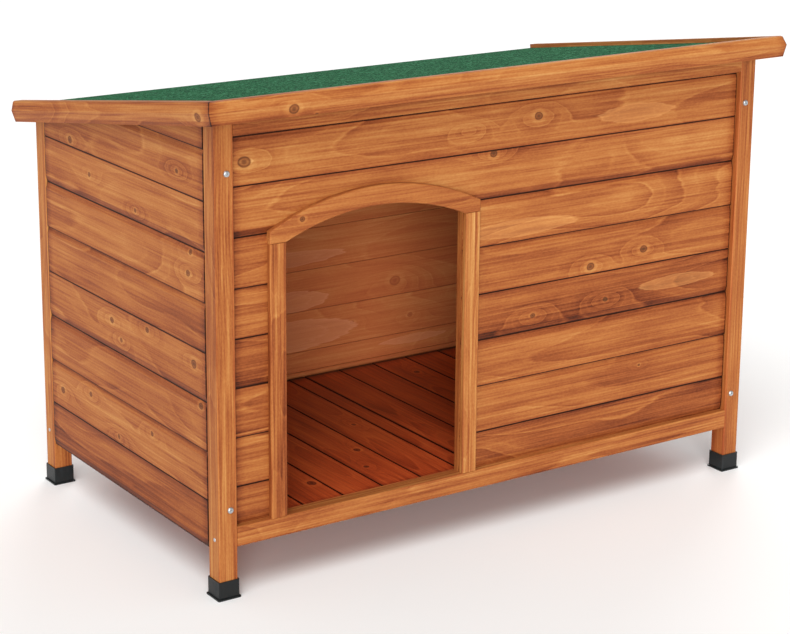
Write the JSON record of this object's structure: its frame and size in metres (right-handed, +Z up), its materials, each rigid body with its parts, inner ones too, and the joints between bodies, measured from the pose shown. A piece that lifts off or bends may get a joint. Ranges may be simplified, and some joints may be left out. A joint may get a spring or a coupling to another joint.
{
  "type": "dog house",
  "caption": "Flat-roofed wooden dog house on capped posts, arched doorway left of centre, sloping felted lid roof hinged at the rear with slotted side stays.",
  "frame": {"origin": "on the ground, under the middle of the roof outline", "axes": "+X to the right seen from the front, +Y to the rear, +Z up; the doorway faces -Y"},
  "size_m": [1.04, 0.637, 0.7294],
  "materials": {
    "wall_wood": "honey-orange stained softwood boards with cathedral grain and knots, satin",
    "frame_wood": "honey-orange stained softwood posts and rails with straight grain, satin",
    "floor_wood": "red-brown stained softwood planks with knots",
    "roof_wood": "honey-orange stained softwood trims and deck boards",
    "felt": "green mineral-faced roofing felt, rough and speckled",
    "cap_plastic": "near-black moulded plastic, satin",
    "zinc": "bright zinc-plated steel"
  },
  "bodies": {
    "house": {"door_header": "frame_wood", "door_jamb_left": "frame_wood", "door_jamb_right": "frame_wood", "floor_battens_left": "floor_wood", "floor_battens_right": "floor_wood", "floor_bearer_front": "floor_wood", "floor_bearer_rear": "floor_wood", "floor_planks_left": "floor_wood", "floor_planks_right": "floor_wood", "foot_cap_front_left": "cap_plastic", "foot_cap_front_right": "cap_plastic", "foot_cap_rear_left": "cap_plastic", "foot_cap_rear_right": "cap_plastic", "front_board_1": "wall_wood", "front_board_2": "wall_wood", "front_boards_left": "wall_wood", "front_boards_right": "wall_wood", "front_cleats": "frame_wood", "front_post_screws": "zinc", "front_sill": "frame_wood", "front_top_rail": "frame_wood", "hinge_pins": "zinc", "hinge_wall_leaf_left": "zinc", "hinge_wall_leaf_right": "zinc", "left_wall_boards": "wall_wood", "post_front_left": "frame_wood", "post_front_right": "frame_wood", "post_rear_left": "frame_wood", "post_rear_right": "frame_wood", "rear_boards": "wall_wood", "rear_cleats": "frame_wood", "rear_post_screws": "zinc", "rear_sill": "frame_wood", "rear_top_rail": "frame_wood", "right_wall_boards": "wall_wood", "side_batten_front_left": "frame_wood", "side_batten_front_right": "frame_wood", "side_batten_rear_left": "frame_wood", "side_batten_rear_right": "frame_wood", "stay_guide_left": "zinc", "stay_guide_right": "zinc"},
    "roof": {"hinge_roof_leaf_left": "zinc", "hinge_roof_leaf_right": "zinc", "lid_batten_left": "roof_wood", "lid_batten_middle": "roof_wood", "lid_batten_right": "roof_wood", "roof_deck": "roof_wood", "roof_felt": "felt", "roof_trim_front": "roof_wood", "roof_trim_left": "roof_wood", "roof_trim_right": "roof_wood", "stay_pivot_left": "zinc", "stay_pivot_right": "zinc"},
    "left_stay": {"stay_arm_left": "zinc"},
    "right_stay": {"stay_arm_right": "zinc"}
  },
  "joints": [
    {"name": "roof_hinge", "type": "hinge", "parent": "house", "child": "roof", "pos_m": [0, 0.2939, 0.60817], "axis": [-1, 0, 0], "range_deg": [0, 70]},
    {"name": "left_stay_pivot", "type": "hinge", "parent": "roof", "child": "left_stay", "pos_m": [-0.477, 0.09547, 0.63321], "axis": [-1, 0, 0], "range_deg": [-35, 0]},
    {"name": "right_stay_pivot", "type": "hinge", "parent": "roof", "child": "right_stay", "pos_m": [0.477, 0.09547, 0.63321], "axis": [-1, 0, 0], "range_deg": [-35, 0]}
  ],
  "couplings": [
    {"joint": "left_stay_pivot", "follows": "roof_hinge", "ratio": -0.5},
    {"joint": "right_stay_pivot", "follows": "roof_hinge", "ratio": -0.5}
  ]
}
